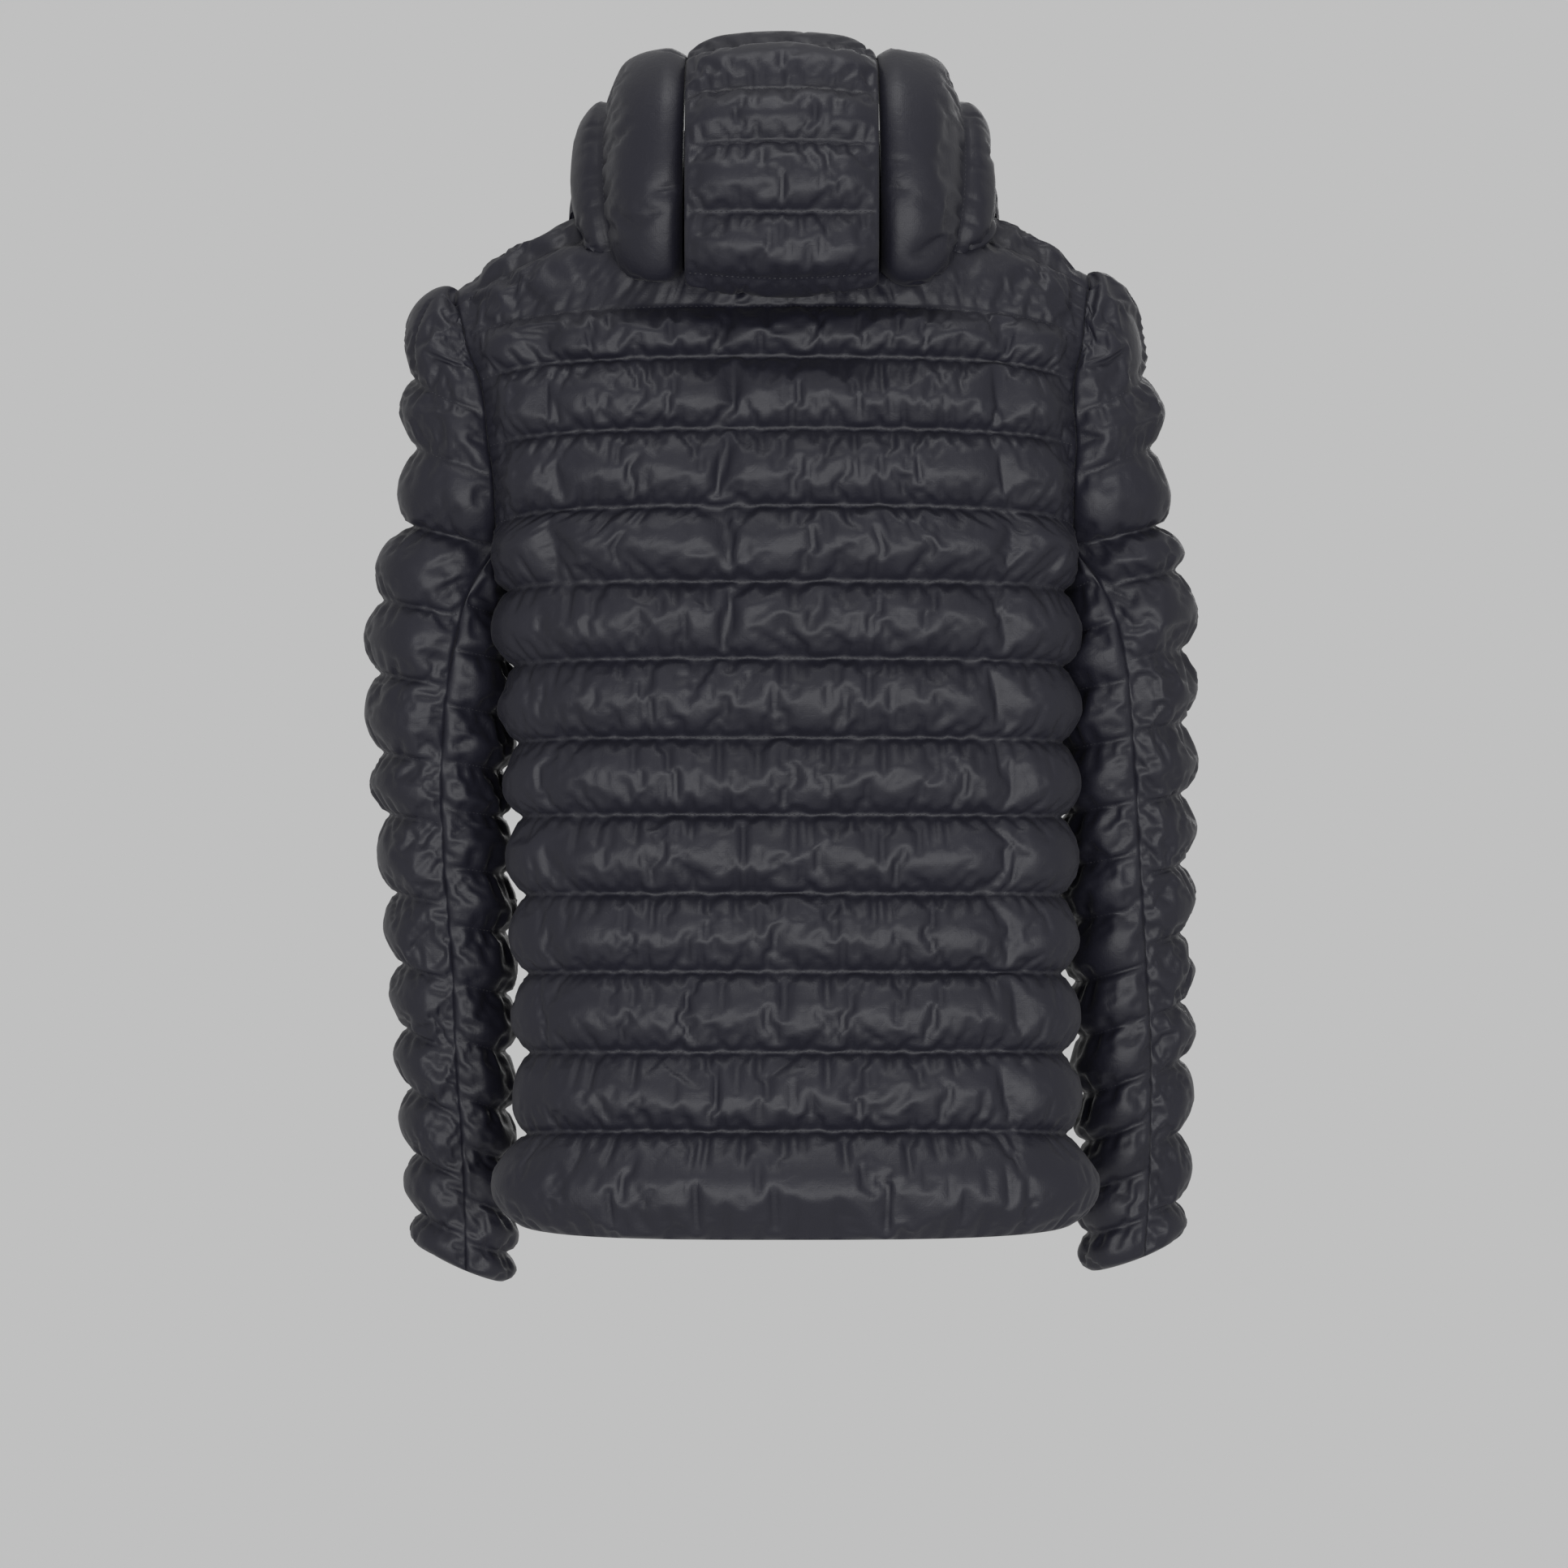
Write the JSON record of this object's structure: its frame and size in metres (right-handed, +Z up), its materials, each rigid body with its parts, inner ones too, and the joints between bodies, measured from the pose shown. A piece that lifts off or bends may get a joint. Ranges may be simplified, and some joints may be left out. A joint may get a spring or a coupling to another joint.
{
  "type": "hooded puffer jacket",
  "caption": "Quilted jacket in worn, hollow form with a three-panel hood, full-length front zip and two-piece sleeves.",
  "frame": {"origin": "middle of the neck seam, where the wearer holds the jacket up", "axes": "+Z up, +Y where the wearer faces, +X to the wearer's right"},
  "size_m": [0.5859, 0.3302, 0.8768],
  "materials": {
    "shell": "satin woven nylon",
    "zip_tape": "matt woven tape",
    "zip_metal": "satin"
  },
  "bodies": {
    "jacket": {"back": "shell", "front_left": "shell", "front_right": "shell", "sleeve_top_left": "shell", "sleeve_top_right": "shell", "sleeve_under_left": "shell", "sleeve_under_right": "shell", "hood_centre": "shell", "hood_side_left": "shell", "hood_side_right": "shell", "collar": "shell", "zip_tape_left": "zip_tape", "zip_tape_right": "zip_tape", "zip_slider": "zip_metal"},
    "pull": {"zip_pull": "zip_metal"}
  },
  "joints": [
    {"name": "pull_hinge", "type": "hinge", "parent": "jacket", "child": "pull", "pos_m": [0, 0.0806, 0.01119], "axis": [1, 0, 0], "range_deg": [0, 150]}
  ]
}
